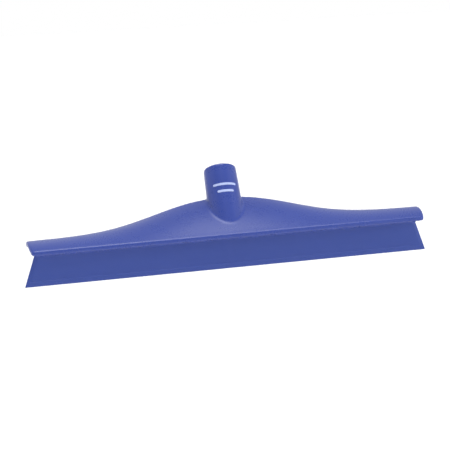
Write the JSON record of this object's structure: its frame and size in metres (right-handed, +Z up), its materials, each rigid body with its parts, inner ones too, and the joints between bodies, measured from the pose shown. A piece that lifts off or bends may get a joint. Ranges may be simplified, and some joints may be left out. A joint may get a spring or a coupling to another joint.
{
  "type": "floor squeegee head",
  "caption": "Purple-blue moulded floor squeegee head: arched hood with a bell-shaped ridge, inclined threaded handle socket and one flexing rubber blade.",
  "frame": {"origin": "middle of the flat wiping edge of the rubber blade", "axes": "+X along the wiping edge, -Y to the front (the side the hood nose is on), +Z up the blade to the hood; the handle socket leans back towards +Y"},
  "size_m": [0.4, 0.0774, 0.0988],
  "materials": {
    "body_plastic": "satin moulded polypropylene, purple-blue, fine even texture",
    "blade_rubber": "satin thermoplastic rubber in the same purple-blue"
  },
  "bodies": {
    "body": {"hood_and_socket": "body_plastic"},
    "blade": {"rubber_blade": "blade_rubber"}
  },
  "joints": [
    {"name": "blade_flex", "type": "hinge", "parent": "body", "child": "blade", "pos_m": [0, 0, 0.03], "axis": [1, 0, 0], "range_deg": [-20, 20], "stiffness_Nm_per_rad": 0.8}
  ]
}
